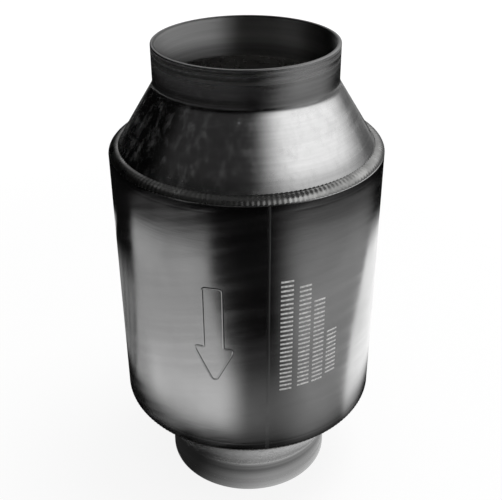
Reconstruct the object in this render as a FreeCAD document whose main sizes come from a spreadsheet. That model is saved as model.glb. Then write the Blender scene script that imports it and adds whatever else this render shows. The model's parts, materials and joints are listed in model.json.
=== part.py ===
import FreeCAD, Part
import math
import os
import Sketcher

# Round metal-foil catalytic converter, in millimetres, standing on its outlet neck.
# Z runs up the axis. Z = 0 is the outlet rim, and the front is towards -Y.
# A rolled shell is closed by a lengthwise seam weld. A spun cone with a pipe neck slips into each
# end and is held by a weld bead. A flat and a corrugated foil are wound together inside.

# Driving sizes: name, value, and what it is
SIZES = [
    ("shell_diameter", 101.6, "outside diameter of the shell, 4 inch"),
    ("shell_wall", 1.5, "sheet thickness of the shell"),
    ("shell_length", 104.0, "length of the shell between its end faces"),
    ("seam_width", 2.4, "width of the lengthwise seam weld on the outside"),
    ("seam_crown", 0.12, "how far the seam weld stands proud of the outside"),
    ("seam_azimuth", 8.0, "degrees from the front, towards +X, to the middle of the seam"),
    ("neck_bore", 63.7, "bore of each neck, which takes a 2.5 inch pipe"),
    ("neck_length", 14.3, "straight length of each neck"),
    ("cone_wall", 1.5, "sheet thickness of the cones"),
    ("cone_height", 24.7, "height of a cone from its neck to the end of the shell"),
    ("cone_seat", 1.1, "how deep in the shell the flare turns into the skirt"),
    ("skirt_length", 6.0, "how far the skirt reaches into the shell"),
    ("skirt_gap", 0.05, "radial clearance between the skirt and the shell"),
    ("neck_ease", 1.0, "how far from its corner the neck starts to turn into the flare"),
    ("mouth_chamfer", 0.4, "chamfer round the mouth of each neck, inside"),
    ("weld_leg", 2.4, "height of a weld bead up the flare, from the end of the shell"),
    ("weld_crown", 0.8, "how far a weld bead bulges beyond a straight fillet"),
    ("foil_thickness", 0.2, "thickness of both foils"),
    ("foil_setback", 1.2, "clearance from a skirt's end to the face of the foil pack"),
    ("foil_gap", 0.05, "clearance between one foil and the next, and round the pack"),
    ("foil_turns", 6, "turns of the flat foil before its closing wrap"),
    ("core_radius", 2.4, "radius at which the winding starts"),
    ("wave_length", 7.6, "length of one wave of the corrugated foil"),
]

FULL_TURN = 2 * math.pi
# Straight sides in each turn of the flat foil
FOIL_SIDES = 32
# The corrugated foil ends this share of a turn after it starts its last one
LAST_WAVE_SHARE = 0.75

doc = FreeCAD.newDocument("converter")
sheet = doc.addObject("Spreadsheet::Sheet", "sizes")
for row, (name, value, meaning) in enumerate(SIZES, start=1):
    sheet.set(f"A{row}", name)
    sheet.set(f"B{row}", str(value))
    sheet.set(f"C{row}", meaning)
    sheet.setAlias(f"B{row}", name)
doc.recompute()

# Sizes that follow from the driving ones, as formulas of the sheet's cells
SHELL_OUTER = "(sizes.shell_diameter / 2)"
SHELL_INNER = f"({SHELL_OUTER} - sizes.shell_wall)"
NECK_INNER = "(sizes.neck_bore / 2)"
NECK_OUTER = f"({NECK_INNER} + sizes.cone_wall)"
SKIRT_OUTER = f"({SHELL_INNER} - sizes.skirt_gap)"
SKIRT_INNER = f"({SKIRT_OUTER} - sizes.cone_wall)"
SHELL_START = "(sizes.neck_length + sizes.cone_height)"
SHELL_END = f"({SHELL_START} + sizes.shell_length)"
TOTAL_LENGTH = f"({SHELL_END} + {SHELL_START})"
SEAT_HEIGHT = f"({SHELL_START} + sizes.cone_seat)"
SKIRT_END = f"({SHELL_START} + sizes.skirt_length)"
SEAM_ANGLE = f"(sizes.seam_width / {SHELL_OUTER} * 180 / pi)"
PACK_START = f"({SKIRT_END} + sizes.foil_setback)"
PACK_LENGTH = "(sizes.shell_length - 2 * (sizes.skirt_length + sizes.foil_setback))"
PACK_OUTER = f"({SHELL_INNER} - sizes.foil_gap)"
# How fast the flare widens, in radius for each millimetre of height
FLARE = f"(({SKIRT_OUTER} - {NECK_OUTER}) / (sizes.cone_height + sizes.cone_seat))"
# The flare's inner corners lie this much further from the rim than its outer ones, for an even wall
CORNER_SHIFT = f"(sizes.cone_wall * tan(atan({FLARE}) / 2))"


def worked_out(formula):
    """The present value of a formula of the sheet's cells."""
    return float(sheet.evalExpression(formula))


def add_body(label):
    body = doc.addObject("PartDesign::Body", label)
    body.Label = label
    return body


def add_profile(body, corners):
    """A closed profile on the body's XZ plane. Each corner is a pair of formulas, radius and height."""
    sketch = body.newObject("Sketcher::SketchObject", f"{body.Name}_profile")
    plane = next(f for f in body.Origin.OriginFeatures if f.Role == "XZ_Plane")
    sketch.AttachmentSupport = [(plane, "")]
    sketch.MapMode = "FlatFace"
    points = [FreeCAD.Vector(worked_out(r), worked_out(z), 0) for r, z in corners]
    for point, following in zip(points, points[1:] + points[:1]):
        sketch.addGeometry(Part.LineSegment(point, following), False)
    for i, (r, z) in enumerate(corners):
        before = (i or len(corners)) - 1
        sketch.addConstraint(Sketcher.Constraint("Coincident", before, 2, i, 1))
        number = sketch.addConstraint(Sketcher.Constraint("DistanceX", -1, 1, i, 1, worked_out(r)))
        sketch.setExpression(f"Constraints[{number}]", r)
        if z == "0":
            sketch.addConstraint(Sketcher.Constraint("PointOnObject", i, 1, -1))
            continue
        number = sketch.addConstraint(Sketcher.Constraint("DistanceY", -1, 1, i, 1, worked_out(z)))
        sketch.setExpression(f"Constraints[{number}]", z)
    return sketch


def revolve(body, sketch, angle="360"):
    """Turns the profile about Z. Less than a full turn is shared equally to both sides of +X."""
    turned = body.newObject("PartDesign::Revolution", f"{body.Name}_turned")
    turned.Profile = sketch
    turned.ReferenceAxis = (sketch, ["V_Axis"])
    turned.Midplane = True
    turned.setExpression("Angle", angle)
    body.Tip = turned
    doc.recompute()
    return turned


def add_tube(label, inner, outer, start, end, angle="360"):
    """A straight round tube, or the part of one that a turn by the angle sweeps."""
    body = add_body(label)
    corners = [(inner, start), (outer, start), (outer, end), (inner, end)]
    revolve(body, add_profile(body, corners), angle)
    return body


def turn_about_axis(body, angle):
    """Turns a piece about Z by the angle, a formula in degrees."""
    body.Placement.Rotation = FreeCAD.Rotation(FreeCAD.Vector(0, 0, 1), 1)
    body.setExpression("Placement.Rotation.Angle", angle)


def stand_at_inlet(piece):
    """Turns an outlet piece over, so that its rim is the inlet rim at the top."""
    piece.Placement.Rotation = FreeCAD.Rotation(FreeCAD.Vector(1, 0, 0), 180)
    piece.setExpression("Placement.Base.z", TOTAL_LENGTH)
    doc.recompute()


def add_chamfer(body, place, amount):
    """A chamfer on the body's full-circle edge at the place, a pair of radius and height."""
    base = body.Tip
    radius, height = worked_out(place[0]), worked_out(place[1])
    edges = []
    for number, edge in enumerate(base.Shape.Edges, start=1):
        circle = edge.Curve
        if not isinstance(circle, Part.Circle):
            continue
        if abs(circle.Radius - radius) < 1e-4 and abs(circle.Center.z - height) < 1e-4:
            edges.append(f"Edge{number}")
    chamfer = body.newObject("PartDesign::Chamfer", f"{body.Name}_chamfer_{len(body.Group)}")
    chamfer.Base = (base, edges)
    chamfer.setExpression("Size", amount)
    body.Tip = chamfer
    doc.recompute()


def add_cone(label):
    """A cone spun from one sheet: pipe neck, flare, and a skirt that slips into the shell."""
    body = add_body(label)
    outer_neck_end = (NECK_OUTER, "sizes.neck_length")
    inner_neck_end = (NECK_INNER, f"(sizes.neck_length + {CORNER_SHIFT})")
    corners = [
        (NECK_INNER, "0"),
        (NECK_OUTER, "0"),
        outer_neck_end,
        (SKIRT_OUTER, SEAT_HEIGHT),
        (SKIRT_OUTER, SKIRT_END),
        (SKIRT_INNER, SKIRT_END),
        (SKIRT_INNER, f"({SEAT_HEIGHT} + {CORNER_SHIFT})"),
        inner_neck_end,
    ]
    revolve(body, add_profile(body, corners))
    add_chamfer(body, outer_neck_end, "sizes.neck_ease")
    add_chamfer(body, inner_neck_end, "sizes.neck_ease")
    add_chamfer(body, (NECK_INNER, "0"), "sizes.mouth_chamfer")
    return body


def add_weld_bead(label, cone, at_inlet):
    """A fillet weld round a joint: a ring on the shell's end face, with the cone cut out of it."""
    ring = add_body(f"{label}_ring")
    toe_radius = f"({SKIRT_OUTER} - (sizes.cone_seat + sizes.weld_leg) * {FLARE})"
    toe_height = f"({SHELL_START} - sizes.weld_leg)"
    root_radius = f"({SKIRT_OUTER} - sizes.cone_seat * {FLARE} - sizes.cone_wall / 2)"
    run = f"({SHELL_OUTER} - {toe_radius})"
    crown = f"(sizes.weld_crown / sqrt({run}^2 + sizes.weld_leg^2))"
    corners = [
        (SHELL_OUTER, SHELL_START),
        (root_radius, SHELL_START),
        (toe_radius, toe_height),
        (
            f"(({SHELL_OUTER} + {toe_radius}) / 2 + {crown} * sizes.weld_leg)",
            f"({SHELL_START} - sizes.weld_leg / 2 - {crown} * {run})",
        ),
    ]
    revolve(ring, add_profile(ring, corners))
    if at_inlet:
        stand_at_inlet(ring)
    bead = doc.addObject("Part::Cut", label)
    bead.Label = label
    bead.Base = ring
    bead.Tool = cone
    doc.recompute()
    return bead


# Shell: one sheet rolled into a tube, open by the width of the seam at the end of its turn
shell = add_tube("shell", SHELL_INNER, SHELL_OUTER, SHELL_START, SHELL_END, f"360 - {SEAM_ANGLE}")
turn_about_axis(shell, "sizes.seam_azimuth + 90")

# Seam weld: fills the gap between the sheet's two edges, a little proud of the outside
SEAM_OUTER = f"({SHELL_OUTER} + sizes.seam_crown)"
seam = add_tube("shell_seam_weld", SHELL_INNER, SEAM_OUTER, SHELL_START, SHELL_END, SEAM_ANGLE)
turn_about_axis(seam, "sizes.seam_azimuth + 270")

outlet_cone = add_cone("outlet_cone")
inlet_cone = add_cone("inlet_cone")
stand_at_inlet(inlet_cone)
outlet_bead = add_weld_bead("outlet_weld_bead", outlet_cone, at_inlet=False)
inlet_bead = add_weld_bead("inlet_weld_bead", inlet_cone, at_inlet=True)

# Foil winding, in plan. The flat foil climbs one pitch in each turn, from the core to the closing wrap,
# and is straight between corners that are a fixed share of a turn apart.
thickness = worked_out("sizes.foil_thickness")
gap = worked_out("sizes.foil_gap")
core_radius = worked_out("sizes.core_radius")
turns = max(2, round(worked_out("sizes.foil_turns")))
wrap_radius = worked_out(PACK_OUTER) - thickness / 2
pitch = (wrap_radius - core_radius) / turns
rise = pitch / FULL_TURN
side_angle = FULL_TURN / FOIL_SIDES


def in_plan(radius, angle):
    return FreeCAD.Vector(radius * math.cos(angle), radius * math.sin(angle), 0)


def corner_radius(corner):
    """Distance from the axis to the flat foil's middle, at that corner."""
    return min(core_radius + pitch * corner / FOIL_SIDES, wrap_radius)


def flat_radius(angle):
    """Distance from the axis to the flat foil's middle, after that angle of winding."""
    corner, past = divmod(angle, side_angle)
    start, end = corner_radius(corner), corner_radius(corner + 1)
    return start * end * math.sin(side_angle) / (start * math.sin(past) + end * math.sin(side_angle - past))


def strip_section(middle):
    """A foil's section: as thick as the foil, with mitred corners along the line of points."""
    edges = ([], [])
    for i, point in enumerate(middle):
        arrives = (point - middle[i - 1]).normalize() if i else None
        leaves = (middle[i + 1] - point).normalize() if i + 1 < len(middle) else None
        arrives = arrives or leaves
        leaves = leaves or arrives
        mitre = FreeCAD.Vector(-arrives.y - leaves.y, arrives.x + leaves.x, 0)
        shift = mitre * (thickness / mitre.Length**2)
        edges[0].append(point + shift)
        edges[1].append(point - shift)
    outline = edges[0] + edges[1][::-1]
    return Part.Face(Part.makePolygon(outline + outline[:1]))


def flat_foil_line():
    """The spiral, then one closing wrap that stops where the spiral's last turn comes up to it."""
    wrap_sides = int(FOIL_SIDES * (1 - (thickness + gap) / pitch))
    corners = FOIL_SIDES * turns + wrap_sides
    return [in_plan(corner_radius(corner), corner * side_angle) for corner in range(corners + 1)]


def corrugated_foil_line():
    """A zigzag whose folds stand by turns on the flat foil inside it and under the one outside it."""
    last_angle = FULL_TURN * (turns - 1 + LAST_WAVE_SHARE)
    start_radius = core_radius + pitch / 2
    length = start_radius * last_angle + rise * last_angle**2 / 2
    folds = round(2 * length / worked_out("sizes.wave_length"))
    room = thickness / 2 + gap
    tips = []
    for fold in range(folds + 1):
        along = length * fold / folds
        angle = (math.sqrt(start_radius**2 + 2 * rise * along) - start_radius) / rise
        low, high = flat_radius(angle) + room, flat_radius(angle + FULL_TURN) - room
        tips.append(in_plan(low if fold % 2 else high, angle))
    middle = []
    for before, tip, after in zip(tips, tips[1:], tips[2:]):
        fold_angle = (before - tip).getAngle(after - tip)
        inwards = ((before + after) / 2 - tip).normalize()
        middle.append(tip + inwards * (thickness / 2 / math.sin(fold_angle / 2)))
    return middle


def add_foil(label, middle):
    """A foil as deep as the pack, from the line of its middle in plan."""
    section = doc.addObject("Part::Feature", f"{label}_section")
    section.Shape = strip_section(middle)
    foil = doc.addObject("Part::Extrusion", label)
    foil.Label = label
    foil.Base = section
    foil.DirMode = "Custom"
    foil.Dir = FreeCAD.Vector(0, 0, 1)
    foil.Solid = True
    foil.setExpression("LengthFwd", PACK_LENGTH)
    foil.setExpression("Placement.Base.z", PACK_START)
    doc.recompute()
    return foil


flat_foil = add_foil("flat_foil", flat_foil_line())
corrugated_foil = add_foil("corrugated_foil", corrugated_foil_line())

pieces = [
    shell,
    seam,
    inlet_cone,
    outlet_cone,
    inlet_bead,
    outlet_bead,
    flat_foil,
    corrugated_foil,
]

# Every object has to have computed, and every piece has to be one sound solid, before any is written
for thing in doc.Objects:
    if "Invalid" in thing.State or "Error" in thing.State:
        raise RuntimeError(f"{thing.Label} did not compute: {thing.State}")
for piece in pieces:
    if piece.Shape.isNull() or not piece.Shape.isValid() or len(piece.Shape.Solids) != 1:
        raise RuntimeError(f"{piece.Label} is not one sound solid")

os.makedirs("parts", exist_ok=True)
for piece in pieces:
    piece.Shape.exportStep(f"parts/{piece.Label}.step")
    print(piece.Label, round(piece.Shape.Volume), "mm3")
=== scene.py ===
import json
import math
import random

import bmesh
import bpy
from bpy.props import FloatProperty, FloatVectorProperty, IntProperty, PointerProperty
from mathutils import Matrix, Vector


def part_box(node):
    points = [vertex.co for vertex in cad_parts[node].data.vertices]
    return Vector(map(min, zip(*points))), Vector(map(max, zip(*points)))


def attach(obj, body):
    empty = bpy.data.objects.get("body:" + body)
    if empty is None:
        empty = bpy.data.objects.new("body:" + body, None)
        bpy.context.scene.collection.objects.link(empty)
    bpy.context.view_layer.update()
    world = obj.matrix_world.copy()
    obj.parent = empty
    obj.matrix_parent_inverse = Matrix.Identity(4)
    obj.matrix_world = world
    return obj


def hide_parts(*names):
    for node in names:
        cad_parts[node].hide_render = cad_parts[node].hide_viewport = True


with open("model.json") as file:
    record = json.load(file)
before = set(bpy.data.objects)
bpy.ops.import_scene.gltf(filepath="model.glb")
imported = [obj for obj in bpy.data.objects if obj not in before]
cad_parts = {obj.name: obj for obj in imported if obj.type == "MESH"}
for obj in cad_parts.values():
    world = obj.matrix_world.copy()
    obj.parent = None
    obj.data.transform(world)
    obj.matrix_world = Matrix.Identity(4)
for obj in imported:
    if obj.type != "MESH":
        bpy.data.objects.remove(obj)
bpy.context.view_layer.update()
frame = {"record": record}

bl_info = {
    "name": "Catalytic Converter",
    "version": (1, 0, 0),
    "blender": (4, 5, 0),
    "location": "3D View > Sidebar > Converter",
    "description": "Dresses the packed catalytic converter in welded, spun and brushed steel",
    "category": "Object",
}

MM = 0.001
MOUNTS = {mount["name"]: mount["dims"] for mount in frame["record"]["mounts"]}

# The converter's main lines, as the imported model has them
SHELL_LOW, SHELL_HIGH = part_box("shell")
SHELL_RADIUS = SHELL_HIGH.x
SHELL_START, SHELL_END = SHELL_LOW.z, SHELL_HIGH.z
CONE_LOW, CONE_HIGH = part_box("inlet_cone")
SKIRT_RADIUS, SKIRT_END = CONE_HIGH.x, CONE_LOW.z
TOTAL_LENGTH = CONE_HIGH.z
FOIL_LOW, FOIL_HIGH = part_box("flat_foil")
BORE_RADIUS = MOUNTS["inlet_bore"]["r_mm"] * MM
NECK_RADIUS = MOUNTS["inlet_neck"]["r_mm"] * MM
SHEET = NECK_RADIUS - BORE_RADIUS

# The straight part of a neck, how far a flare dips into the shell, and the rubbed rings below a mouth
NECK_LENGTH = 14.3 * MM
FLARE_DIP = 1.1 * MM
RUBBED_DEPTHS = (2.0 * MM, 4.6 * MM)

# How finely round shapes are divided, and how near points have to be to merge
PARTS_AROUND = 288
CARD_PARTS_AROUND = 180
ARC_PARTS = 6
TOUCHING = 0.001 * MM

# Rows of ticks: azimuth in degrees, then the heights of both ends in millimetres
TICK_ROWS = ((15.6, 67, 115), (23.3, 67.5, 111.5), (30.0, 67.5, 104), (36.8, 69, 89.5))

# The seam's section: how far to the side, as a share of half its width, and how far above the shell in mm
SEAM_SECTION = (
    (-1.0, -0.06),
    (-0.66, -0.018),
    (-0.33, 0.006),
    (0.0, 0.014),
    (0.33, 0.006),
    (0.66, -0.018),
    (1.0, -0.06),
    (1.0, -0.4),
    (-1.0, -0.4),
)

WHITE = (1, 1, 1, 1)


# Drawing and turning


def free_hands():
    """Leaves edit mode, with nothing selected."""
    if bpy.context.object and bpy.context.object.mode != "OBJECT":
        bpy.ops.object.mode_set(mode="OBJECT")
    bpy.ops.object.select_all(action="DESELECT")


def take_up(piece):
    """Selects one piece alone and makes it the active one."""
    free_hands()
    piece.select_set(True)
    bpy.context.view_layer.objects.active = piece


def at(radius, height, azimuth=90.0):
    """A point by its radius and height. Azimuth is in degrees from the front, towards +X."""
    turn = math.radians(azimuth)
    return Vector((radius * math.sin(turn), -radius * math.cos(turn), height))


def turned_over(line):
    """The same points at the other end of the converter."""
    return [Vector((point.x, point.y, TOTAL_LENGTH - point.z)) for point in line]


def rounded(corners, parts=ARC_PARTS):
    """The points of these (point, radius) corners, with an arc for each one that has a radius."""
    line = []
    for i, (corner, radius) in enumerate(corners):
        if not radius:
            line.append(corner)
            continue
        back = (corners[i - 1][0] - corner).normalized()
        on = (corners[(i + 1) % len(corners)][0] - corner).normalized()
        half = back.angle(on) / 2
        centre = corner + (back + on).normalized() * (radius / math.sin(half))
        start = corner + back * (radius / math.tan(half)) - centre
        end = corner + on * (radius / math.tan(half)) - centre
        line += [centre + start.slerp(end, k / parts) * radius for k in range(parts + 1)]
    return line


def draw_outline(name, corners):
    """A new piece that is a closed line from corner to corner, each extruded from the last."""
    free_hands()
    bpy.ops.mesh.primitive_circle_add(vertices=3, radius=MM)
    piece = bpy.context.object
    piece.name = piece.data.name = name
    bpy.ops.object.mode_set(mode="EDIT")
    bpy.ops.mesh.select_mode(type="VERT")
    bpy.ops.mesh.select_all(action="SELECT")
    bpy.ops.mesh.merge(type="CENTER")
    bpy.ops.transform.translate(value=corners[0])
    for here, there in zip(corners, corners[1:] + corners[:1]):
        bpy.ops.mesh.extrude_vertices_move(TRANSFORM_OT_translate={"value": there - here})
    bpy.ops.mesh.select_all(action="SELECT")
    bpy.ops.mesh.remove_doubles(threshold=TOUCHING)
    return piece


def close_up(reach=TOUCHING):
    """Merges points within reach, turns all faces outwards and goes back to object mode."""
    bpy.ops.mesh.select_all(action="SELECT")
    bpy.ops.mesh.remove_doubles(threshold=reach)
    bpy.ops.mesh.normals_make_consistent(inside=False)
    bpy.ops.object.mode_set(mode="OBJECT")


def spin_round():
    """Spins the outline once about the converter's axis."""
    bpy.ops.mesh.select_all(action="SELECT")
    bpy.ops.mesh.spin(steps=PARTS_AROUND, angle=2 * math.pi, center=(0, 0, 0), axis=(0, 0, 1))
    close_up()


def turn_selection(angle):
    """Turns what is selected about the converter's axis. With no window the tool turns the other way."""
    bpy.ops.transform.rotate(
        value=-angle,
        orient_axis="Z",
        orient_type="GLOBAL",
        center_override=(0, 0, 0),
    )


def swell_selection(scale):
    """Moves what is selected away from the converter's axis, or towards it."""
    bpy.ops.transform.resize(value=(scale, scale, 1), center_override=(0, 0, 0))


def repeat_upwards(piece, count, step, reach=None):
    """Copies the piece up the shell. Copies that meet within reach are joined."""
    row = piece.modifiers.new("row", "ARRAY")
    row.count = count
    row.use_relative_offset = False
    row.use_constant_offset = True
    row.constant_offset_displace = (0, 0, step)
    if reach:
        row.use_merge_vertices = True
        row.merge_threshold = reach
    bpy.ops.object.modifier_apply(modifier=row.name)


def make_uneven(piece, depth, size):
    """Presses shallow hollows into the surface, no deeper than depth and about size wide."""
    clouds = bpy.data.textures.new(f"{piece.name}_hollows", "CLOUDS")
    clouds.noise_scale = size
    press = piece.modifiers.new("hollows", "DISPLACE")
    press.texture = clouds
    press.strength = depth
    press.mid_level = 1.0
    press.texture_coords = "LOCAL"
    take_up(piece)
    bpy.ops.object.modifier_apply(modifier=press.name)


def shade(piece, angle):
    """Smooth shading, with edges sharper than the angle, in degrees, kept crisp."""
    take_up(piece)
    bpy.ops.object.shade_smooth_by_angle(angle=math.radians(angle))


def hand_over(piece, finish, slot, *nodes):
    """Gives a finished piece its material and its place in the frame."""
    piece.data.materials.clear()
    piece.data.materials.append(finish)
    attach(piece, "root")
    if nodes:
        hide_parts(*nodes)


# Shader nodes


def empty_tree(owner):
    """The node tree of a material or a world, with nothing in it."""
    owner.use_nodes = True
    owner.node_tree.nodes.clear()
    return owner.node_tree


def add_node(tree, kind, values=None, **settings):
    """A shader node. Values go to its sockets, and a value that is a socket is linked."""
    node = tree.nodes.new(kind)
    for name, value in settings.items():
        setattr(node, name, value)
    for name, value in (values or {}).items():
        socket = node.inputs[name]
        if isinstance(value, bpy.types.NodeSocket):
            tree.links.new(value, socket)
        else:
            socket.default_value = value
    return node


def work_out(tree, operation, *values):
    """One step of arithmetic on numbers and sockets."""
    return add_node(tree, "ShaderNodeMath", dict(enumerate(values)), operation=operation).outputs[0]


def multiply(tree, first, second):
    return work_out(tree, "MULTIPLY", first, second)


def add(tree, *terms):
    total = terms[0]
    for term in terms[1:]:
        total = work_out(tree, "ADD", total, term)
    return total


def ramp(tree, value, span, result=(0.0, 1.0)):
    """Carries a value smoothly from one span to another, held at both ends."""
    values = {"Value": value, "From Min": span[0], "From Max": span[1]}
    values |= {"To Min": result[0], "To Max": result[1]}
    return add_node(tree, "ShaderNodeMapRange", values, interpolation_type="SMOOTHSTEP").outputs["Result"]


def noise(tree, place, lumps, detail=3.0, roughness=0.5, shift=(0.0, 0.0, 0.0), tilt=None):
    """Noise from 0 to 1. Lumps says how many there are to a metre, along X, Y and Z."""
    if tilt:
        place = add_node(tree, "ShaderNodeMapping", {"Vector": place, "Rotation": tilt}).outputs[0]
    fitted = add_node(tree, "ShaderNodeMapping", {"Vector": place, "Scale": lumps, "Location": shift})
    values = {"Vector": fitted.outputs[0], "Scale": 1.0, "Detail": detail, "Roughness": roughness}
    return add_node(tree, "ShaderNodeTexNoise", values).outputs["Fac"]


def tinted(tree, colour, light):
    """The colour, as light or dark as the value says."""
    values = {0: colour[:3], "Scale": light}
    return add_node(tree, "ShaderNodeVectorMath", values, operation="SCALE").outputs[0]


def height_of(tree, place):
    return add_node(tree, "ShaderNodeSeparateXYZ", {"Vector": place}).outputs["Z"]


def radius_of(tree, place):
    """Distance from the converter's axis."""
    flat = add_node(tree, "ShaderNodeVectorMath", {0: place, 1: (1, 1, 0)}, operation="MULTIPLY").outputs[0]
    return add_node(tree, "ShaderNodeVectorMath", {0: flat}, operation="LENGTH").outputs["Value"]


def distance(tree, value, middle):
    """How far the value is from the middle, either way."""
    return work_out(tree, "ABSOLUTE", work_out(tree, "SUBTRACT", value, middle))


def near(tree, value, middle, reach):
    """1 where the value is the middle, falling to 0 within reach of it."""
    return ramp(tree, distance(tree, value, middle), (0.0, reach), (1.0, 0.0))


def new_material(name):
    """A material with its tree and the object's own coordinates."""
    finish = bpy.data.materials.new(name)
    tree = empty_tree(finish)
    place = add_node(tree, "ShaderNodeTexCoord").outputs["Object"]
    return finish, tree, place


# Finishes


def new_finish(name, metallic=1.0):
    """A material with its tree, the object's own coordinates and its main shader."""
    finish, tree, place = new_material(name)
    shader = add_node(tree, "ShaderNodeBsdfPrincipled", {"Metallic": metallic})
    add_node(tree, "ShaderNodeOutputMaterial", {"Surface": shader.outputs[0]})
    return finish, tree, place, shader


def finish_with(tree, shader, colour, roughness, relief, depth):
    """Gives the main shader its colour and roughness, and a bump of that depth."""
    bump = add_node(tree, "ShaderNodeBump", {"Height": relief, "Strength": 1.0, "Distance": depth})
    tree.links.new(colour, shader.inputs["Base Color"])
    tree.links.new(roughness, shader.inputs["Roughness"])
    tree.links.new(bump.outputs[0], shader.inputs["Normal"])


def rolled_sheet(colour, gloss):
    """Shell sheet: a mill finish smudged by handling; by the welds a little smoother, and darker with heat
    tint and painted shade.
    """
    finish, tree, place, shader = new_finish("rolled_sheet")
    smudges = noise(tree, place, (48, 48, 36), detail=2.5)
    slant = (0.26, 0.20, 0.0)
    wipes = noise(tree, place, (24, 24, 300), detail=2.0, roughness=0.45, shift=(3, 1, 7), tilt=slant)
    grain = noise(tree, place, (60, 60, 1400), detail=1.0)
    height = height_of(tree, place)
    # Beside both welds: a heat tint, deepened with painted shade
    tint_and_shade_reach = 4.5 * MM
    heat_tint_and_shade = add(
        tree,
        near(tree, height, SHELL_START, tint_and_shade_reach),
        near(tree, height, SHELL_END, tint_and_shade_reach),
    )
    light = add(
        tree,
        ramp(tree, smudges, (0.3, 0.7), (1.02, 0.93)),
        ramp(tree, wipes, (0.3, 0.7), (-0.05, 0.04)),
        multiply(tree, heat_tint_and_shade, -0.5),
    )
    rough = add(
        tree,
        ramp(tree, smudges, (0.35, 0.75), (gloss, gloss + 0.07)),
        multiply(tree, heat_tint_and_shade, -0.03),
        ramp(tree, wipes, (0.35, 0.75), (0.0, 0.06)),
    )
    finish_with(tree, shader, tinted(tree, colour, light), rough, grain, depth=0.004 * MM)
    return finish


def spun_sheet(colour, gloss):
    """Cone sheet: spinning marks, rubbed rings, dull mouths, dappled flares, and scale by the welds;
    painted shade on the mouths, necks and bores and by the welds.
    """
    finish, tree, place, shader = new_finish("spun_sheet")
    rings = noise(tree, place, (12, 12, 700), roughness=0.6)
    bands = noise(tree, place, (16, 16, 210), detail=2.0, shift=(5, 2, 1))
    spots = noise(tree, place, (380, 380, 210), detail=2.0, shift=(1, 8, 4))
    patches = noise(tree, place, (45, 45, 35), detail=1.0, shift=(4, 2, 9))
    strokes = noise(tree, place, (330, 330, 110), roughness=0.6, shift=(7, 3, 2))

    # Where things are on the cones: out is the distance from the middle, the same for both ends
    middle = TOTAL_LENGTH / 2
    height = height_of(tree, place)
    out = distance(tree, height, middle)
    wall = (BORE_RADIUS + 0.3 * MM, BORE_RADIUS + 1.0 * MM)
    # The inside of each bore: rougher, and a little darker with painted shade
    inside = ramp(tree, radius_of(tree, place), wall, (1.0, 0.0))
    deep_inside = ramp(tree, out, (middle - 17 * MM, middle - 9 * MM), (1.0, 0.0))
    flare = ramp(tree, out, (middle - 16 * MM, middle - 12 * MM), (1.0, 0.0))
    # Painted shade over the top of the upper neck
    upper_neck = (TOTAL_LENGTH - 15 * MM, TOTAL_LENGTH - 12 * MM)
    # The mouth's lip: rougher, and darkened with painted shade
    lip = near(tree, out, middle, 0.8 * MM)
    # Painted shade round the lower part of each neck, where it runs into the flare
    neck_foot_shade = near(tree, out, middle - 11.5 * MM, 4.0 * MM)
    # Beside the beads: a heat tint, deepened with painted shade
    heat_tint_and_shade = near(tree, out, SHELL_END - middle + 2.0 * MM, 8.0 * MM)
    first, second = RUBBED_DEPTHS
    rubbed = add(
        tree,
        near(tree, out, middle - first, 0.9 * MM),
        near(tree, out, middle - second, 1.1 * MM),
    )
    # Painted shade deep inside the bores
    painted_bore_shade = multiply(tree, inside, deep_inside)
    mottle = multiply(tree, ramp(tree, spots, (0.3, 0.75)), ramp(tree, patches, (0.35, 0.65)))
    dabs = multiply(tree, ramp(tree, strokes, (0.45, 0.85)), flare)

    # Apart from the spinning marks, each term below is painted shade; beside the beads it deepens a heat
    # tint
    light = add(
        tree,
        ramp(tree, rings, (0.3, 0.7), (0.92, 1.03)),
        multiply(tree, neck_foot_shade, -0.15),
        multiply(tree, heat_tint_and_shade, -0.42),
        multiply(tree, lip, -0.4),
        ramp(tree, height, upper_neck, (0.0, -0.16)),
        multiply(tree, inside, -0.08),
        multiply(tree, painted_bore_shade, -0.6),
    )
    rough = add(
        tree,
        ramp(tree, bands, (0.4, 0.75), (gloss, gloss + 0.08)),
        multiply(tree, rubbed, 0.12),
        multiply(tree, multiply(tree, mottle, flare), 0.12),
        multiply(tree, dabs, 0.05),
        ramp(tree, rings, (0.25, 0.75), (-0.02, 0.035)),
        multiply(tree, lip, 0.2),
        multiply(tree, inside, 0.22),
    )
    tree.links.new(add(tree, multiply(tree, dabs, -0.1), 1.0), shader.inputs["Metallic"])

    # Inside the necks reflections are drawn out, as on brushed metal
    around = add_node(tree, "ShaderNodeVectorMath", {0: (0, 0, 1), 1: place}, operation="CROSS_PRODUCT")
    tree.links.new(around.outputs[0], shader.inputs["Tangent"])
    tree.links.new(inside, shader.inputs["Anisotropic"])
    shader.inputs["Anisotropic Rotation"].default_value = 0.25

    relief = add(tree, rings, multiply(tree, spots, 0.15))
    finish_with(tree, shader, tinted(tree, colour, light), rough, relief, depth=0.022 * MM)
    return finish


def weld_metal(colour, gloss, coarse=1.0):
    """Weld: a grainy frozen skin, with darker scale in its hollows. Coarse says how much of both."""
    finish, tree, place, shader = new_finish("weld_metal")
    skin = noise(tree, place, (900, 900, 900), roughness=0.6)
    scale = noise(tree, place, (160, 160, 160), roughness=0.6, shift=(2, 5, 3))
    light = ramp(tree, scale, (0.32, 0.68), (1.0 - 0.22 * coarse, 1.0 + 0.05 * coarse))
    rough = ramp(tree, scale, (0.3, 0.7), (gloss + 0.12 * coarse, gloss - 0.04 * coarse))
    finish_with(tree, shader, tinted(tree, colour, light), rough, skin, depth=0.03 * MM * coarse)
    return finish


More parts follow.
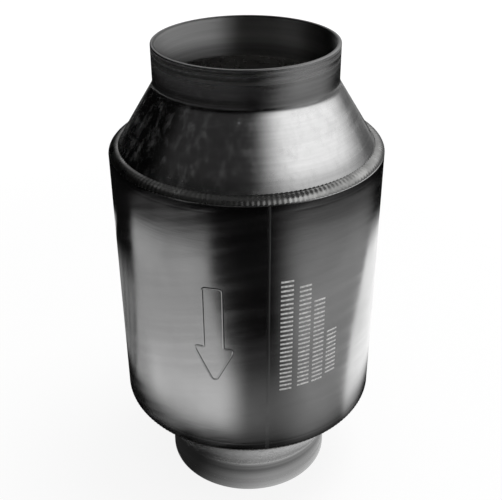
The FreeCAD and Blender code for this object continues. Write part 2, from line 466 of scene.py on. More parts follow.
def peened_metal(colour):
    """Peened marks: metal that is bruised to a pale matt."""
    finish, tree, place, shader = new_finish("peened_metal", metallic=0.25)
    dents = noise(tree, place, (1100, 1100, 1100), detail=2.0, roughness=0.6)
    light = ramp(tree, dents, (0.3, 0.7), (0.66, 1.08))
    rough = ramp(tree, dents, (0.3, 0.7), (0.45, 0.62))
    finish_with(tree, shader, tinted(tree, colour, light), rough, dents, depth=0.05 * MM)
    return finish


def coated_foil(colour):
    """Foil: matt washcoat that has soaked unevenly into the channels."""
    finish, tree, place, shader = new_finish("coated_foil", metallic=0.35)
    coat = noise(tree, place, (300, 300, 120), detail=4.0, roughness=0.6)
    grit = noise(tree, place, (2500, 2500, 2500), detail=2.0, roughness=0.6)
    light = ramp(tree, coat, (0.3, 0.7), (0.72, 1.15))
    rough = ramp(tree, coat, (0.3, 0.7), (0.5, 0.75))
    finish_with(tree, shader, tinted(tree, colour, light), rough, grit, depth=0.02 * MM)
    return finish


# What a user would change


class ConverterSizes(bpy.types.PropertyGroup):
    neck_blend: FloatProperty(
        name="Neck blend",
        description="Radius where the neck runs into the flare",
        default=5.5 * MM,
        unit="LENGTH",
    )
    lip_round: FloatProperty(
        name="Lip rounding",
        description="Radius on the edges of the neck's mouth",
        default=0.4 * MM,
        unit="LENGTH",
    )
    spin_mark_depth: FloatProperty(
        name="Spin mark depth",
        description="How deep the round tool marks on the flare are",
        default=0.012 * MM,
        unit="LENGTH",
    )
    bead_ripples: IntProperty(
        name="Bead ripples",
        description="Ripples in each weld bead, once round",
        default=180,
    )
    bead_crown: FloatProperty(
        name="Bead crown",
        description="How far a bead bulges from a straight fillet",
        default=0.8 * MM,
        unit="LENGTH",
    )
    seam_azimuth: FloatProperty(
        name="Seam azimuth",
        description="Angle from the front to the shell's lengthwise seam, towards the right",
        default=math.radians(8.0),
        unit="ROTATION",
    )
    tick_pitch: FloatProperty(
        name="Tick pitch",
        description="Distance from one peened tick to the next",
        default=1.85 * MM,
        unit="LENGTH",
    )
    arrow_relief: FloatProperty(
        name="Arrow relief",
        description="How far the flow arrow's outline stands out of the shell",
        default=0.1 * MM,
        unit="LENGTH",
    )
    foil_pitch: FloatProperty(
        name="Foil pitch",
        description="Distance from one turn of the flat foil to the next",
        default=1.8 * MM,
        unit="LENGTH",
    )
    foil_wave: FloatProperty(
        name="Foil wave",
        description="Length of one wave of the corrugated foil",
        default=3.6 * MM,
        unit="LENGTH",
    )
    foil_sheet: FloatProperty(
        name="Foil thickness",
        description="Thickness of both foils with their coating",
        default=0.12 * MM,
        unit="LENGTH",
    )


class ConverterFinishes(bpy.types.PropertyGroup):
    shell_colour: FloatVectorProperty(
        name="Shell steel",
        description="Colour of the shell's sheet",
        default=(0.60, 0.60, 0.60),
        subtype="COLOR",
    )
    cone_colour: FloatVectorProperty(
        name="Cone steel",
        description="Colour of the spun cones",
        default=(0.64, 0.64, 0.64),
        subtype="COLOR",
    )
    weld_colour: FloatVectorProperty(
        name="Weld metal",
        description="Colour of the weld beads",
        default=(0.33, 0.33, 0.325),
        subtype="COLOR",
    )
    tick_colour: FloatVectorProperty(
        name="Peened ticks",
        description="Colour of the peened ticks",
        default=(0.92, 0.92, 0.91),
        subtype="COLOR",
    )
    foil_colour: FloatVectorProperty(
        name="Coated foil",
        description="Colour of the coated foils",
        default=(0.38, 0.37, 0.355),
        subtype="COLOR",
    )
    sheet_roughness: FloatProperty(
        name="Sheet roughness",
        description="How blurred the shell's reflections are",
        default=0.13,
    )
    cone_roughness: FloatProperty(
        name="Cone roughness",
        description="How blurred the reflections in the cones are",
        default=0.165,
    )


class ConverterStage(bpy.types.PropertyGroup):
    camera_distance: FloatProperty(
        name="Camera distance",
        description="From the camera to the middle of the converter",
        default=0.3364,
        unit="LENGTH",
    )
    camera_tilt: FloatProperty(
        name="Camera tilt",
        description="How far the camera looks down",
        default=math.radians(30.16),
        unit="ROTATION",
    )
    camera_roll: FloatProperty(
        name="Camera roll",
        description="How far the camera leans about its line of sight",
        default=math.radians(-0.4),
        unit="ROTATION",
    )
    target_height: FloatProperty(
        name="Target height",
        description="Height on the converter's axis that the camera looks at",
        default=97.42 * MM,
        unit="LENGTH",
    )
    floor_colour: FloatVectorProperty(
        name="Floor",
        description="Colour of the floor",
        default=(0.85, 0.85, 0.85),
        subtype="COLOR",
    )


# Cones


def cone_outline(sizes, rings, seed):
    """Half section of a cone with its neck up: mouth, neck, flare and skirt, then back inside."""
    skirt_inner = SKIRT_RADIUS - SHEET
    neck_start = TOTAL_LENGTH - NECK_LENGTH
    seat = SHELL_END - FLARE_DIP
    slope = math.atan2(SKIRT_RADIUS - NECK_RADIUS, neck_start - seat)
    shift = SHEET * math.tan(slope / 2)
    blend, lip = sizes.neck_blend, sizes.lip_round
    corners = [
        (at(BORE_RADIUS, TOTAL_LENGTH), lip * 1.2),
        (at(NECK_RADIUS, TOTAL_LENGTH), lip),
        (at(NECK_RADIUS, neck_start), blend),
        (at(SKIRT_RADIUS, seat), 2 * MM),
        (at(SKIRT_RADIUS, SKIRT_END), 0),
        (at(skirt_inner, SKIRT_END), 0),
        (at(skirt_inner, seat - shift), 3 * MM),
        (at(BORE_RADIUS, neck_start - shift), blend + SHEET),
    ]
    line = rounded(corners)
    lip_end = 2 * (ARC_PARTS + 1)
    flare = next(i for i, point in enumerate(line) if point.z < neck_start - 1 * MM)
    along = line[flare + 1] - line[flare]
    outwards = Vector((-along.z, 0, along.x)).normalized()
    draws = random.Random(seed)
    parts = 24
    marked = [
        line[flare] + along * (k / parts) - outwards * draws.uniform(0, sizes.spin_mark_depth)
        for k in range(1, parts)
    ]
    grooves = []
    for below_mouth, half_width, depth in rings:
        middle = TOTAL_LENGTH - below_mouth
        grooves += [
            at(NECK_RADIUS, middle + half_width),
            at(NECK_RADIUS - depth, middle),
            at(NECK_RADIUS, middle - half_width),
        ]
    return line[:lip_end] + grooves + line[lip_end : flare + 1] + marked + line[flare + 1 :]


def spin_cone(name, finish, line, node):
    cone = draw_outline(name, line)
    spin_round()
    make_uneven(cone, depth=0.035 * MM, size=9 * MM)
    shade(cone, 40)
    hand_over(cone, finish, "spun_sheet", node)


class CONVERTER_OT_spin_cones(bpy.types.Operator):
    """Spin both end cones with their necks, tool marks and blended corners"""

    bl_idname = "converter.spin_cones"
    bl_label = "Spin Cones"

    def execute(self, context):
        sizes, finishes = context.scene.converter_sizes, context.scene.converter_finishes
        finish = spun_sheet(finishes.cone_colour, finishes.cone_roughness)

        # Rings on the necks: how far below the mouth, half the width, and the depth
        first, second = RUBBED_DEPTHS
        rubbed = [(first, 0.5 * MM, 0.03 * MM), (second, 0.6 * MM, 0.035 * MM)]
        scored = [(5.8 * MM, 0.5 * MM, 0.03 * MM), (11.5 * MM, 0.6 * MM, 0.06 * MM)]
        inlet = cone_outline(sizes, rubbed, seed=5)
        outlet = turned_over(cone_outline(sizes, scored, seed=11))
        spin_cone("inlet_cone_spun", finish, inlet, "inlet_cone")
        spin_cone("outlet_cone_spun", finish, outlet, "outlet_cone")
        return {"FINISHED"}


# Shell


class CONVERTER_OT_roll_shell(bpy.types.Operator):
    """Roll the shell from one sheet, with a sizing groove near each end"""

    bl_idname = "converter.roll_shell"
    bl_label = "Roll Shell"

    def execute(self, context):
        finishes = context.scene.converter_finishes
        edge = 0.3 * MM
        groove, width, depth = 2.9 * MM, 0.3 * MM, 0.012 * MM
        rows = 44
        step = (SHELL_END - SHELL_START - 2 * (groove + 2 * width)) / rows
        end = [
            (SHELL_RADIUS - SHEET, 0.0),
            (SHELL_RADIUS - edge, 0.0),
            (SHELL_RADIUS, edge),
            (SHELL_RADIUS, groove - 2 * width),
            (SHELL_RADIUS, groove - width),
            (SHELL_RADIUS - depth, groove),
            (SHELL_RADIUS, groove + width),
        ]
        line = [at(radius, SHELL_START + inwards) for radius, inwards in end]
        line += [at(SHELL_RADIUS, SHELL_START + groove + 2 * width + step * k) for k in range(rows + 1)]
        line += [at(radius, SHELL_END - inwards) for radius, inwards in reversed(end)]
        shell = draw_outline("shell_rolled", line)
        spin_round()
        make_uneven(shell, depth=0.05 * MM, size=22 * MM)
        shade(shell, 40)
        finish = rolled_sheet(finishes.shell_colour, finishes.sheet_roughness)
        hand_over(shell, finish, "shell_sheet", "shell")
        return {"FINISHED"}


# Welds


class CONVERTER_OT_lay_seam(bpy.types.Operator):
    """Lay the seam weld that closes the rolled shell"""

    bl_idname = "converter.lay_seam"
    bl_label = "Lay Seam Weld"

    def execute(self, context):
        sizes, finishes = context.scene.converter_sizes, context.scene.converter_finishes
        azimuth = math.degrees(sizes.seam_azimuth)
        half = math.degrees(0.9 * MM / SHELL_RADIUS)
        end_gap = 0.3 * MM
        low, high = SHELL_START + end_gap, SHELL_END - end_gap
        ripples = 128
        step = (high - low) / ripples
        section = [at(SHELL_RADIUS + rise * MM, low, azimuth + half * side) for side, rise in SEAM_SECTION]
        seam = draw_outline("seam_weld_laid", section)
        outwards = at(1.0, 0.0, azimuth)
        for share, swell in ((0.35, -0.003), (0.65, 0.003)):
            shift = outwards * (swell * MM) + Vector((0, 0, step * share))
            bpy.ops.mesh.extrude_edges_move(TRANSFORM_OT_translate={"value": shift})
        bpy.ops.object.mode_set(mode="OBJECT")
        repeat_upwards(seam, ripples, step, reach=0.002 * MM)
        bpy.ops.object.mode_set(mode="EDIT")
        bpy.ops.mesh.select_all(action="SELECT")
        bpy.ops.mesh.fill_holes(sides=0)
        close_up()
        shade(seam, 60)
        finish = weld_metal(finishes.shell_colour, gloss=0.2, coarse=0.25)
        hand_over(seam, finish, "weld_metal", "shell_seam_weld")
        return {"FINISHED"}


def bead_section(crown):
    """Section of the upper bead: from its heel on the shell, over its crown, to its toe on the flare."""
    slope = (SKIRT_RADIUS - NECK_RADIUS) / (SHELL_END - FLARE_DIP - TOTAL_LENGTH + NECK_LENGTH)
    toe_rise = 2.4 * MM
    heel = at(SHELL_RADIUS - 0.02 * MM, SHELL_END)
    toe = at(SKIRT_RADIUS + slope * (FLARE_DIP + toe_rise), SHELL_END + toe_rise)
    chord = toe - heel
    outwards = Vector((chord.z, 0, -chord.x)).normalized()
    shares = (0, 0.08, 0.22, 0.4, 0.6, 0.78, 0.92, 1)
    over = [heel + chord * s + outwards * (crown * 4 * s * (1 - s)) for s in shares]
    under = [at(toe.x + 0.2 * MM, SHELL_END + 0.4 * MM), at(SHELL_RADIUS - 2.4 * MM, SHELL_END - 0.1 * MM)]
    return over + under


def lay_bead(name, section, ripples):
    """Shapes one ripple that swells as it goes round, and then repeats it to close the bead."""
    bead = draw_outline(name, section)
    pitch = 2 * math.pi / ripples
    heart = sum(section, Vector()) / len(section)
    swells = (0.88, 1.04, 1.045, 1.046)
    for k, swell in enumerate(swells, start=1):
        bpy.ops.mesh.extrude_edges_move()
        turn_selection(pitch / len(swells))
        centre = Matrix.Rotation(pitch * k / len(swells), 4, "Z") @ heart
        bpy.ops.transform.resize(value=(swell,) * 3, orient_type="GLOBAL", center_override=centre)
    bpy.ops.mesh.select_all(action="SELECT")
    bpy.ops.mesh.spin(
        steps=ripples - 1,
        dupli=True,
        angle=2 * math.pi * (ripples - 1) / ripples,
        center=(0, 0, 0),
        axis=(0, 0, 1),
    )
    close_up(reach=0.01 * MM)
    return bead


class CONVERTER_OT_lay_beads(bpy.types.Operator):
    """Lay the rippled weld bead round each end of the shell"""

    bl_idname = "converter.lay_beads"
    bl_label = "Lay Weld Beads"

    def execute(self, context):
        sizes, finishes = context.scene.converter_sizes, context.scene.converter_finishes
        finish = weld_metal(finishes.weld_colour, gloss=0.27)
        section = bead_section(sizes.bead_crown)
        for name, line, node in (
            ("inlet_bead_laid", section, "inlet_weld_bead"),
            ("outlet_bead_laid", turned_over(section), "outlet_weld_bead"),
        ):
            bead = lay_bead(name, line, sizes.bead_ripples)
            shade(bead, 70)
            hand_over(bead, finish, "weld_metal", node)
        return {"FINISHED"}


# Marks on the shell


def wrapped(line, azimuth, radius, step):
    """The flat closed line, laid round the shell, with points no further apart than the step."""
    laid = []
    for here, there in zip(line, line[1:] + line[:1]):
        parts = max(1, math.ceil((there - here).length / step))
        for k in range(parts):
            point = here.lerp(there, k / parts)
            laid.append(at(radius, point.z, azimuth + math.degrees(point.x / SHELL_RADIUS)))
    return laid


class CONVERTER_OT_stamp_arrow(bpy.types.Operator):
    """Stamp a plain outlined arrow that shows which way the gas flows"""

    bl_idname = "converter.stamp_arrow"
    bl_label = "Stamp Flow Arrow"

    def execute(self, context):
        sizes, finishes = context.scene.converter_sizes, context.scene.converter_finishes
        azimuth = -13.8
        top, neck, tip = 110.9 * MM, 86.0 * MM, 70.5 * MM
        shaft, head = 3.6 * MM, 7.8 * MM
        bend, tight_bend = 1.2 * MM, 0.6 * MM
        right = [(shaft, top, bend), (shaft, neck, tight_bend), (head, neck, bend)]
        left = [(-x, z, radius) for x, z, radius in reversed(right)]
        corners = [(Vector((x, 0, z)), radius) for x, z, radius in (*right, (0.0, tip, bend), *left)]
        stroke = 0.75 * MM
        ring = wrapped(rounded(corners, 4), azimuth, SHELL_RADIUS + sizes.arrow_relief - stroke, 1.2 * MM)
        draw_outline("flow_arrow", ring)
        bpy.ops.object.mode_set(mode="OBJECT")
        bpy.ops.object.convert(target="CURVE")
        curve = bpy.context.object.data
        curve.bevel_depth = stroke
        curve.bevel_resolution = 4
        bpy.ops.object.convert(target="MESH")
        arrow = bpy.context.object
        arrow.data.name = arrow.name
        bpy.ops.object.mode_set(mode="EDIT")
        close_up()
        shade(arrow, 60)
        finish = bpy.data.materials.get("rolled_sheet")
        if not finish:
            finish = rolled_sheet(finishes.shell_colour, finishes.sheet_roughness)
        hand_over(arrow, finish, "shell_sheet")
        return {"FINISHED"}


def shape_tick(width, height):
    """One low bar at the front of the shell, curved with it, its ends sunk into the sheet."""
    half = math.degrees(width / 2 / SHELL_RADIUS)
    sunk, proud = SHELL_RADIUS - 0.12 * MM, SHELL_RADIUS + 0.045 * MM
    shoulder = proud - 0.02 * MM
    section = [
        at(sunk, -height / 2, -half),
        at(shoulder, -height * 0.3, -half),
        at(proud, 0.0, -half),
        at(shoulder, height * 0.3, -half),
        at(sunk, height / 2, -half),
    ]
    tick = draw_outline("tick", section)
    bpy.ops.mesh.edge_face_add()
    dip = (sunk - 0.03 * MM) / proud
    swell_selection(dip)
    shares = (0.08, 0.28, 0.28, 0.28, 0.08)
    swells = (1 / dip, 1, 1, 1, dip)
    for share, swell in zip(shares, swells):
        bpy.ops.mesh.extrude_region_move()
        turn_selection(math.radians(2 * half * share))
        swell_selection(swell)
    close_up()
    return tick


class CONVERTER_OT_peen_ticks(bpy.types.Operator):
    """Peen four plain rows of ticks into the shell"""

    bl_idname = "converter.peen_ticks"
    bl_label = "Peen Tick Rows"

    def execute(self, context):
        sizes, finishes = context.scene.converter_sizes, context.scene.converter_finishes
        tick = shape_tick(width=5.2 * MM, height=1.05 * MM)
        rows = []
        for azimuth, low, high in TICK_ROWS:
            take_up(tick)
            bpy.ops.object.duplicate()
            row = bpy.context.object
            turn_selection(math.radians(azimuth))
            bpy.ops.transform.translate(value=(0, 0, low * MM))
            bpy.ops.object.transform_apply()
            repeat_upwards(row, round((high - low) * MM / sizes.tick_pitch), sizes.tick_pitch)
            rows.append(row)
        free_hands()
        bpy.data.objects.remove(tick)
        for row in rows:
            row.select_set(True)
        bpy.context.view_layer.objects.active = rows[0]
        bpy.ops.object.join()
        ticks = bpy.context.object
        ticks.name = ticks.data.name = "peened_ticks"
        shade(ticks, 50)
        hand_over(ticks, peened_metal(finishes.tick_colour), "shell_sheet")
        return {"FINISHED"}


# Foils


def wind_foil(name, line, sheet, finish, node):
    """A foil as deep as the pack, from its line in plan."""
    curve = bpy.data.curves.new(name, "CURVE")
    spline = curve.splines.new("POLY")
    spline.points.add(len(line) - 1)
    spline.points.foreach_set("co", [number for point in line for number in (*point, 1.0)])
    foil = bpy.data.objects.new(name, curve)
    bpy.context.scene.collection.objects.link(foil)
    take_up(foil)
    bpy.ops.object.convert(target="MESH")
    foil = bpy.context.object
    foil.name = foil.data.name = name
    bpy.ops.object.mode_set(mode="EDIT")
    bpy.ops.mesh.select_all(action="SELECT")
    depth = FOIL_HIGH.z - FOIL_LOW.z
    bpy.ops.mesh.extrude_region_move(TRANSFORM_OT_translate={"value": (0, 0, depth)})
    bpy.ops.object.mode_set(mode="OBJECT")
    wall = foil.modifiers.new("thickness", "SOLIDIFY")
    wall.thickness = sheet
    wall.offset = 0
    bpy.ops.object.modifier_apply(modifier=wall.name)
    shade(foil, 50)
    hand_over(foil, finish, "coated_foil", node)


class CONVERTER_OT_wind_foils(bpy.types.Operator):
    """Wind the flat and the corrugated foil into the honeycomb core"""

    bl_idname = "converter.wind_foils"
    bl_label = "Wind Foils"

    def execute(self, context):
        sizes, finishes = context.scene.converter_sizes, context.scene.converter_finishes
        finish = coated_foil(finishes.foil_colour)
        pitch, sheet = sizes.foil_pitch, sizes.foil_sheet
        rise = pitch / (2 * math.pi)
        core, edge = 1.2 * MM, FOIL_HIGH.x - 0.2 * MM

        def on_spiral(turned, out):
            radius = min(core + rise * turned, edge) + out
            return at(radius, FOIL_LOW.z, math.degrees(turned))

        def gap_outside(turned):
            return min(pitch, edge - core - rise * turned)

        # The flat foil winds out to the edge, and then once more round it
        spacing = 1.6 * MM
        closing_wrap = 2 * math.pi * 0.97
        last = (edge - core) / rise
        flat, turned = [], 0.0
        while turned < last + closing_wrap:
            flat.append(on_spiral(turned, 0.0))
            turned += spacing / (core + rise * turned + 2 * MM)

        # The corrugated foil fills the gap outside it, in waves of slightly uneven length
        wave, turned, along = [], 0.0, 0.0
        parts = 8
        while gap_outside(turned) > 3 * sheet:
            phase = 2 * math.pi * along / parts
            crest = math.sin(phase) + 0.08 * math.sin(3 * phase)
            uneven = 1.0 + 0.10 * math.sin(0.37 * along / parts) * math.sin(0.11 * along / parts)
            gap = gap_outside(turned)
            wave.append(on_spiral(turned, gap / 2 + (gap / 2 - sheet) * crest))
            turned += sizes.foil_wave * uneven / parts / (core + rise * turned + pitch / 2)
            along += 1
        wind_foil("flat_foil_wound", flat, sheet, finish, "flat_foil")
        wind_foil("corrugated_foil_wound", wave, sheet, finish, "corrugated_foil")
        return {"FINISHED"}


# Stage

# The cards are what the metal mirrors: a dark room with soft windows, and pale cards on the table.
# Each has a name, a grey, an arc (middle azimuth, half the width and the feather, in degrees), two
# edges, and the feather beyond each edge, in metres. A standing card ends with its radius.
STANDING_CARDS = (
    ("room_wall", 0.002, (0, 180, 0), (0.0, 1.35), (0.0, 0.0), 0.80),
    ("wall_top", 0.14, (150, 70, 60), (1.25, 1.36), (0.2, 0.0), 0.79),
    ("wall_low", 0.4, (118, 50, 42), (-0.01, 0.10), (0.0, 0.14), 0.785),
    ("wall_front_left", 0.03, (-35, 35, 25), (0.4, 0.95), (0.1, 0.15), 0.775),
    ("wall_behind_right", 0.14, (135, 30, 20), (0.02, 0.30), (0.02, 0.1), 0.78),
    ("window", 1.3, (88, 38, 46), (0.4, 0.9), (0.24, 0.14), 0.76),
    ("window_high", 0.7, (100, 25, 35), (0.95, 1.25), (0.12, 0.1), 0.765),
    ("window_back", 0.9, (164, 20, 26), (0.42, 1.0), (0.15, 0.2), 0.77),
    ("window_left_high", 0.35, (-105, 25, 35), (1.05, 1.3), (0.15, 0.05), 0.765),
)

# A lying card ends with its height in millimetres, and its lean in degrees a metre.
LYING_CARDS = (
    ("room_ceiling", 0.07, (0, 180, 0), (0.001, 0.81), (0.0, 0.0), 1350, 0),
    ("table_foot", 0.42, (0, 180, 0), (0.038, 0.07), (0.008, 0.0), 0.1, 0),
    ("table_dark", 0.004, (0, 180, 0), (0.055, 0.79), (0.018, 0.0), 0.2, 0),
    ("table_foot_left", 0.02, (-100, 50, 75), (0.0334, 0.06), (0.0, 0.01), 0.3, 0),
    ("table_far", 0.35, (118, 50, 42), (0.64, 0.79), (0.05, 0.0), 0.3, 0),
    ("table_far_left", 0.08, (-80, 60, 40), (0.64, 0.79), (0.05, 0.0), 0.4, 0),
    ("table_far_right", 0.45, (72, 22, 40), (0.42, 0.48), (0.06, 0.14), 0.4, 0),
    ("table_left", 0.43, (-66, 32, 10), (0.109, 0.264), (0.015, 0.022), 0.4, 0),
    ("table_left_lean", 0.46, (-42, 30, 11), (0.112, 0.243), (0.015, 0.022), 0.5, -190),
    ("table_front_near", 0.15, (-4, 26, 34), (0.106, 0.112), (0.012, 0.055), 0.6, 0),
    ("table_left_near", 0.72, (-46, 24, 24), (0.112, 0.12), (0.014, 0.06), 0.7, 0),
    ("table_back_left", 0.24, (-136, 24, 14), (0.112, 0.17), (0.02, 0.05), 0.5, 0),
    ("table_right", 0.31, (74, 26, 32), (0.105, 0.235), (0.025, 0.10), 0.7, 0),
    ("table_back_right", 1.12, (127, 45, 6), (0.104, 0.212), (0.025, 0.045), 0.8, 320),
)


def card_tone(name, tone, arc, across, edges, feathers, lean=0):
    """An even grey with feathered edges. Across says what the edges measure: radius or height."""
    finish, tree, place = new_material(name)
    middle, half, soft = arc
    low, high = edges
    soft_low, soft_high = feathers
    measure = radius_of(tree, place) if across == "radius" else height_of(tree, place)
    shown = 1.0
    if soft:
        turn = -math.radians(middle)
        if lean:
            turn = add(tree, multiply(tree, add(tree, measure, -low), -math.radians(lean)), turn)
        values = {"Vector": place, "Angle": turn}
        faced = add_node(tree, "ShaderNodeVectorRotate", values, rotation_type="Z_AXIS").outputs[0]
        side = add_node(tree, "ShaderNodeSeparateXYZ", {"Vector": faced}).outputs
        off = work_out(tree, "ARCTAN2", side["X"], multiply(tree, side["Y"], -1.0))
        off = work_out(tree, "ABSOLUTE", off)
        shown = ramp(tree, off, (math.radians(half), math.radians(half + soft)), (1.0, 0.0))
    if soft_low:
        shown = multiply(tree, shown, ramp(tree, measure, (low - soft_low, low)))
    if soft_high:
        shown = multiply(tree, shown, ramp(tree, measure, (high, high + soft_high), (1.0, 0.0)))
    glow = add_node(tree, "ShaderNodeEmission", {"Color": WHITE, "Strength": tone}).outputs[0]
    clear = add_node(tree, "ShaderNodeBsdfTransparent").outputs[0]
    both = add_node(tree, "ShaderNodeMixShader", {0: shown, 1: clear, 2: glow}).outputs[0]
    add_node(tree, "ShaderNodeOutputMaterial", {"Surface": both})
    finish.cycles.emission_sampling = "NONE"
    return finish


def keep_near(card, middle, reach):
    """In edit mode, deletes what lies further than that from the middle azimuth, in degrees."""
    bpy.ops.mesh.select_mode(type="FACE")
    bpy.ops.mesh.select_all(action="DESELECT")
    mesh = bmesh.from_edit_mesh(card.data)
    for face in mesh.faces:
        point = face.calc_center_median()
        off = (math.degrees(math.atan2(point.x, -point.y)) - middle + 180) % 360 - 180
        face.select_set(abs(off) > reach)
    bmesh.update_edit_mesh(card.data)
    bpy.ops.mesh.delete(type="FACE")


def hang_card(card, name, middle, reach, tone):
    """Cuts the card to its arc. Only the metal shows it, and it casts no shadow."""
    card.name = card.data.name = name
    keep_near(card, middle, reach)
    free_hands()
    card.data.materials.append(tone)
    for way in ("camera", "diffuse", "transmission", "volume_scatter", "shadow"):
        setattr(card, f"visible_{way}", False)


def stand_card(name, tone, arc, edges, feathers, radius):
    """A curved card that stands round the table, or round part of it."""
    free_hands()
    middle, half, soft = arc
    bottom, top = edges[0] - feathers[0], edges[1] + feathers[1]
    bpy.ops.mesh.primitive_cylinder_add(
        vertices=CARD_PARTS_AROUND,
        radius=radius,
        depth=top - bottom,
        end_fill_type="NOTHING",
        location=(0, 0, (bottom + top) / 2),
    )
    bpy.ops.object.transform_apply(location=True)
    card = bpy.context.object
    paper = card_tone(f"{name}_tone", tone, arc, "height", edges, feathers)
    bpy.ops.object.mode_set(mode="EDIT")
    hang_card(card, name, middle, half + soft, paper)


def lay_card(name, tone, arc, edges, feathers, height, lean):
    """A flat ring, or part of one. With a lean, its middle turns round on the way outwards."""
    free_hands()
    middle, half, soft = arc
    inner, outer = edges[0] - feathers[0], edges[1] + feathers[1]
    place = (0, 0, height * MM)
    bpy.ops.mesh.primitive_circle_add(vertices=CARD_PARTS_AROUND, radius=outer, location=place)
    bpy.ops.object.transform_apply(location=True)
    card = bpy.context.object
    paper = card_tone(f"{name}_tone", tone, arc, "radius", edges, feathers, lean)
    bpy.ops.object.mode_set(mode="EDIT")
    bpy.ops.mesh.select_mode(type="EDGE")
    bpy.ops.mesh.select_all(action="SELECT")
    bpy.ops.mesh.extrude_edges_move()
    swell_selection(inner / outer)
    hang_card(card, name, middle, 180 if lean else half + soft, paper)


def white_to_the_eye(tree, seen, unseen):
    """Shows one shader to the camera and in the metal, and the other to everything else."""
    path = add_node(tree, "ShaderNodeLightPath")
    shown = path.outputs["Is Camera Ray"]
    for way in ("Is Glossy Ray", "Is Transmission Ray"):
        shown = work_out(tree, "MAXIMUM", shown, path.outputs[way])
    return add_node(tree, "ShaderNodeMixShader", {0: shown, 1: unseen, 2: seen}).outputs[0]


def lay_floor(colour):
    """The floor: white to the eye and in the metal, with a trace of the converter's shadow."""
    finish, tree, place = new_material("studio_floor")
    specks = noise(tree, place, (40, 40, 40), roughness=0.6)
    paint = tinted(tree, colour, ramp(tree, specks, (0.3, 0.7), (0.98, 1.0)))
    matt = add_node(tree, "ShaderNodeBsdfDiffuse", {"Color": paint}).outputs[0]
    shadowed = add_node(tree, "ShaderNodeBsdfDiffuse", {"Color": (0.16, 0.16, 0.16, 1)}).outputs[0]
    bright = ramp(tree, radius_of(tree, place), (0.2, 0.8), (0.86, 1.0))
    glow = add_node(tree, "ShaderNodeEmission", {"Color": WHITE, "Strength": bright}).outputs[0]
    seen = add_node(tree, "ShaderNodeAddShader", {0: glow, 1: shadowed}).outputs[0]
    add_node(tree, "ShaderNodeOutputMaterial", {"Surface": white_to_the_eye(tree, seen, matt)})
    free_hands()
    below = (0, 0, -0.1 * MM)
    bpy.ops.mesh.primitive_circle_add(vertices=96, radius=3.0, fill_type="NGON", location=below)
    floor = bpy.context.object
    floor.name = floor.data.name = "studio_floor"
    floor.data.materials.append(finish)


def light_world():
    """A white surrounding that gives about half of the light it shows."""
    world = bpy.data.worlds.new("studio_air")
    bpy.context.scene.world = world
    tree = empty_tree(world)
    shown = add_node(tree, "ShaderNodeBackground", {"Color": WHITE, "Strength": 1.0}).outputs[0]
    given = add_node(tree, "ShaderNodeBackground", {"Color": WHITE, "Strength": 0.55}).outputs[0]
    add_node(tree, "ShaderNodeOutputWorld", {"Surface": white_to_the_eye(tree, shown, given)})


def hang_lamp():
    """One soft round lamp overhead, which the metal doesn't mirror."""
    free_hands()
    bpy.ops.object.light_add(type="AREA", location=(0.25, 0.1, 0.9), rotation=(-0.11, 0.27, 0))
    lamp = bpy.context.object
    lamp.name = lamp.data.name = "soft_overhead"
    lamp.data.shape = "DISK"
    lamp.data.size = 0.5
    lamp.data.energy = 3.0
    lamp.visible_glossy = False


def place_camera(stage):
    """The camera stands in front and looks down at the converter's axis."""
    tilt, away = stage.camera_tilt, stage.camera_distance
    where = Vector((0, -away * math.cos(tilt), stage.target_height + away * math.sin(tilt)))
    lean = Matrix.Rotation(math.pi / 2 - tilt, 4, "X") @ Matrix.Rotation(stage.camera_roll, 4, "Z")
    bpy.ops.object.camera_add(location=where, rotation=lean.to_euler())
    camera = bpy.context.object
    camera.name = "photo_camera"
    camera.data.lens = 60.62
    camera.data.shift_x = 0.0075
    camera.data.clip_start = 0.01
    bpy.context.scene.camera = camera


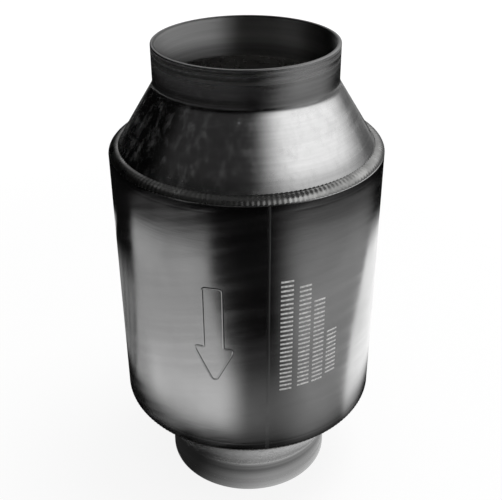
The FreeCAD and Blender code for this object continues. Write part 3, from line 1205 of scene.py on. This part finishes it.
class CONVERTER_OT_set_stage(bpy.types.Operator):
    """Set the pale floor, the soft light, the dark cards that the metal mirrors, and the camera"""

    bl_idname = "converter.set_stage"
    bl_label = "Set Stage"

    def execute(self, context):
        stage = context.scene.converter_stage
        lay_floor(stage.floor_colour)
        light_world()
        for card in STANDING_CARDS:
            stand_card(*card)
        for card in LYING_CARDS:
            lay_card(*card)
        hang_lamp()
        place_camera(stage)
        context.scene.view_settings.view_transform = "Standard"
        return {"FINISHED"}


# Panel and start


class CONVERTER_PT_build(bpy.types.Panel):
    """Builds the converter's pieces and its stage"""

    bl_idname = "CONVERTER_PT_build"
    bl_label = "Catalytic Converter"
    bl_space_type = "VIEW_3D"
    bl_region_type = "UI"
    bl_category = "Converter"

    def draw(self, context):
        for step in STEPS:
            self.layout.operator(step.bl_idname)
        for group in ("converter_sizes", "converter_finishes", "converter_stage"):
            box = self.layout.box()
            settings = getattr(context.scene, group)
            for name in settings.__annotations__:
                box.prop(settings, name)


STEPS = (
    CONVERTER_OT_set_stage,
    CONVERTER_OT_roll_shell,
    CONVERTER_OT_lay_seam,
    CONVERTER_OT_spin_cones,
    CONVERTER_OT_lay_beads,
    CONVERTER_OT_stamp_arrow,
    CONVERTER_OT_peen_ticks,
    CONVERTER_OT_wind_foils,
)
CLASSES = (ConverterSizes, ConverterFinishes, ConverterStage, *STEPS, CONVERTER_PT_build)


def register():
    for cls in CLASSES:
        bpy.utils.register_class(cls)
    bpy.types.Scene.converter_sizes = PointerProperty(type=ConverterSizes)
    bpy.types.Scene.converter_finishes = PointerProperty(type=ConverterFinishes)
    bpy.types.Scene.converter_stage = PointerProperty(type=ConverterStage)


def unregister():
    del bpy.types.Scene.converter_stage
    del bpy.types.Scene.converter_finishes
    del bpy.types.Scene.converter_sizes
    for cls in reversed(CLASSES):
        bpy.utils.unregister_class(cls)


def main():
    register()
    bpy.ops.converter.set_stage()
    bpy.ops.converter.roll_shell()
    bpy.ops.converter.lay_seam()
    bpy.ops.converter.spin_cones()
    bpy.ops.converter.lay_beads()
    bpy.ops.converter.stamp_arrow()
    bpy.ops.converter.peen_ticks()
    bpy.ops.converter.wind_foils()
    free_hands()


if __name__ == "__main__":
    main()
